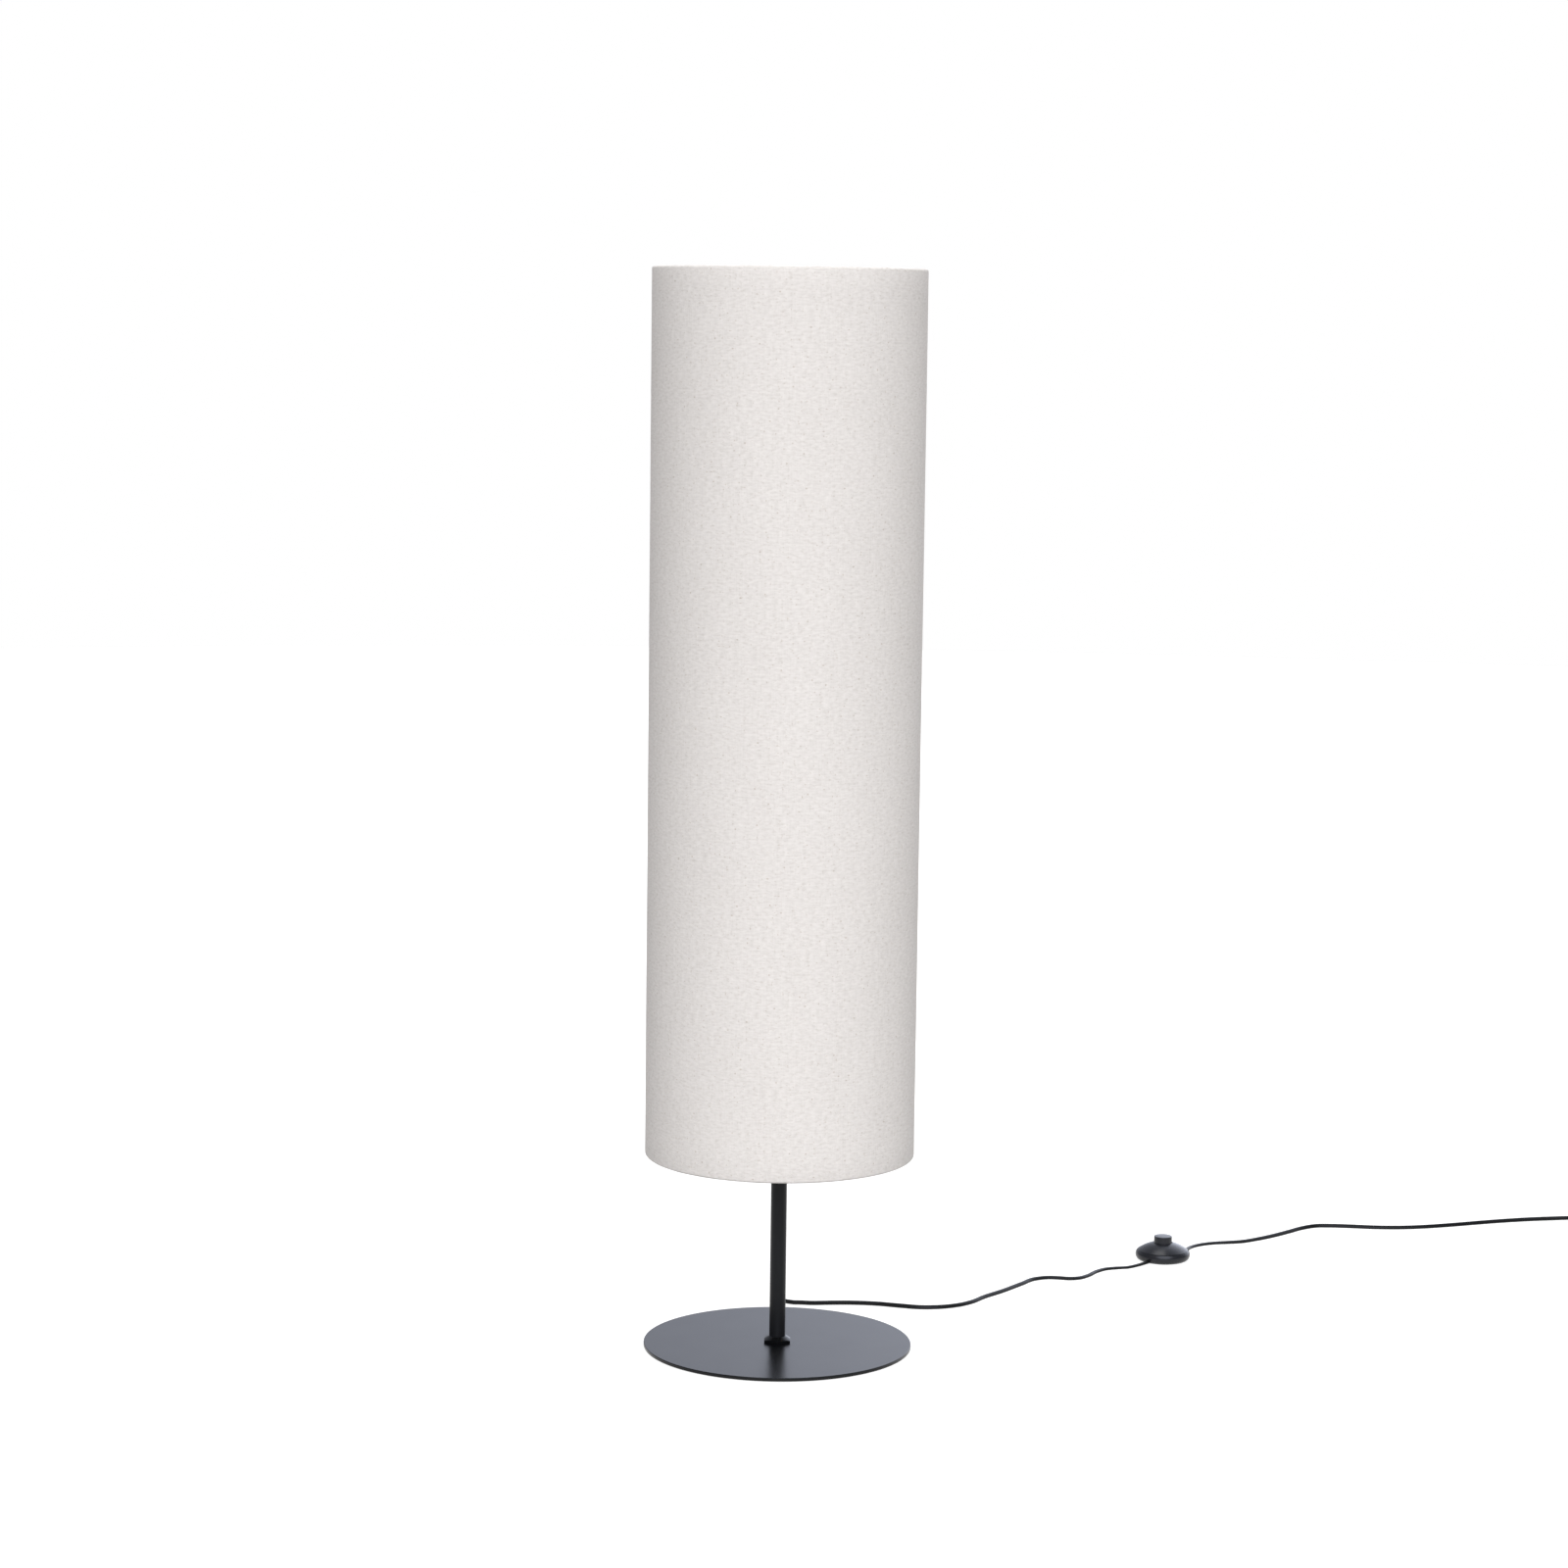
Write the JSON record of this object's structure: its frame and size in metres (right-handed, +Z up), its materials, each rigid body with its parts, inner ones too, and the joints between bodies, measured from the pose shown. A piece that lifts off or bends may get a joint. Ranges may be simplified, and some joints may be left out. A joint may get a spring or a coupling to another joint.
{
  "type": "column floor lamp",
  "caption": "Column floor lamp: tall linen drum shade on a slim black steel pole with a round flat base, side-arm lamp holders, flat cord with foot switch and plug.",
  "frame": {"origin": "centre of the underside of the base, on the floor", "axes": "+Z up along the pole; -Y towards the viewer of the picture; +X to the viewer's right, the side the cord runs to"},
  "size_m": [1.2639, 0.8029, 1.2],
  "materials": {
    "black_steel": "satin black powder coat, fine texture",
    "base_felt": "dark needle felt",
    "zinc_steel": "bright zinc plate",
    "brass": "plain turned brass",
    "linen": "off-white linen weave with slubs",
    "liner_film": "frosted plastic film",
    "ring_wire": "white powder coat",
    "black_rubber": "matt",
    "cord_sheath": "smooth soft plastic sheath",
    "core_brown": "smooth insulation",
    "holder_plastic": "moulded",
    "holder_ceramic": "unglazed",
    "bulb_cap_metal": "rolled",
    "bulb_plastic": "moulded",
    "opal_plastic": "opal",
    "switch_plastic": "satin moulded, fine grain",
    "button_plastic": "satin moulded",
    "inner_plastic": "moulded",
    "spring_steel": "drawn wire",
    "plug_plastic": "moulded",
    "nickel_pin": "nickel plate"
  },
  "bodies": {
    "lamp": {"base_plate": "black_steel", "base_pad": "base_felt", "base_screw": "zinc_steel", "pole_foot": "black_steel", "lower_tube": "black_steel", "lower_bush": "brass", "joint_nipple": "brass", "upper_bush": "brass", "upper_tube": "black_steel", "top_bush": "black_steel", "top_nipple": "brass", "shade_washer": "zinc_steel", "shade_nut": "black_steel", "cord_bushing": "black_rubber", "lower_leads": "core_brown", "upper_leads": "core_brown", "wire_grommets": "black_rubber", "lower_arm": "black_steel", "upper_arm": "black_steel", "arm_screws": "zinc_steel", "holder_nipples": "brass", "holder_nuts": "zinc_steel", "lower_holder_cap": "holder_plastic", "upper_holder_cap": "holder_plastic", "lower_holder_core": "holder_ceramic", "upper_holder_core": "holder_ceramic", "holder_contacts": "brass", "lower_holder_shell": "holder_plastic", "upper_holder_shell": "holder_plastic", "lower_bulb_cap": "bulb_cap_metal", "upper_bulb_cap": "bulb_cap_metal", "lower_bulb_neck": "bulb_plastic", "upper_bulb_neck": "bulb_plastic", "lower_bulb_globe": "opal_plastic", "upper_bulb_globe": "opal_plastic", "shade_cover": "linen", "shade_liner": "liner_film", "top_ring": "ring_wire", "bottom_ring": "ring_wire", "switch_base": "switch_plastic", "switch_cover": "switch_plastic", "button_spring": "spring_steel", "switch_carrier": "inner_plastic", "switch_terminals": "brass", "switch_cores": "core_brown", "switch_screws": "zinc_steel", "cord_clamps": "inner_plastic", "cord_to_switch": "cord_sheath", "cord_to_coil": "cord_sheath", "cord_coil": "cord_sheath", "cord_tie": "black_rubber", "cord_to_plug": "cord_sheath", "plug_sleeve": "plug_plastic", "plug_body": "plug_plastic", "plug_pins": "nickel_pin"},
    "button": {"switch_button": "button_plastic", "contact_ring": "brass"}
  },
  "joints": [
    {"name": "button_press", "type": "slide", "parent": "lamp", "child": "button", "axis": [0, 0, -1], "range_m": [0, 0.004], "stiffness_N_per_m": 1000, "springref_m": -0.004, "deforming": ["button_spring"]}
  ]
}
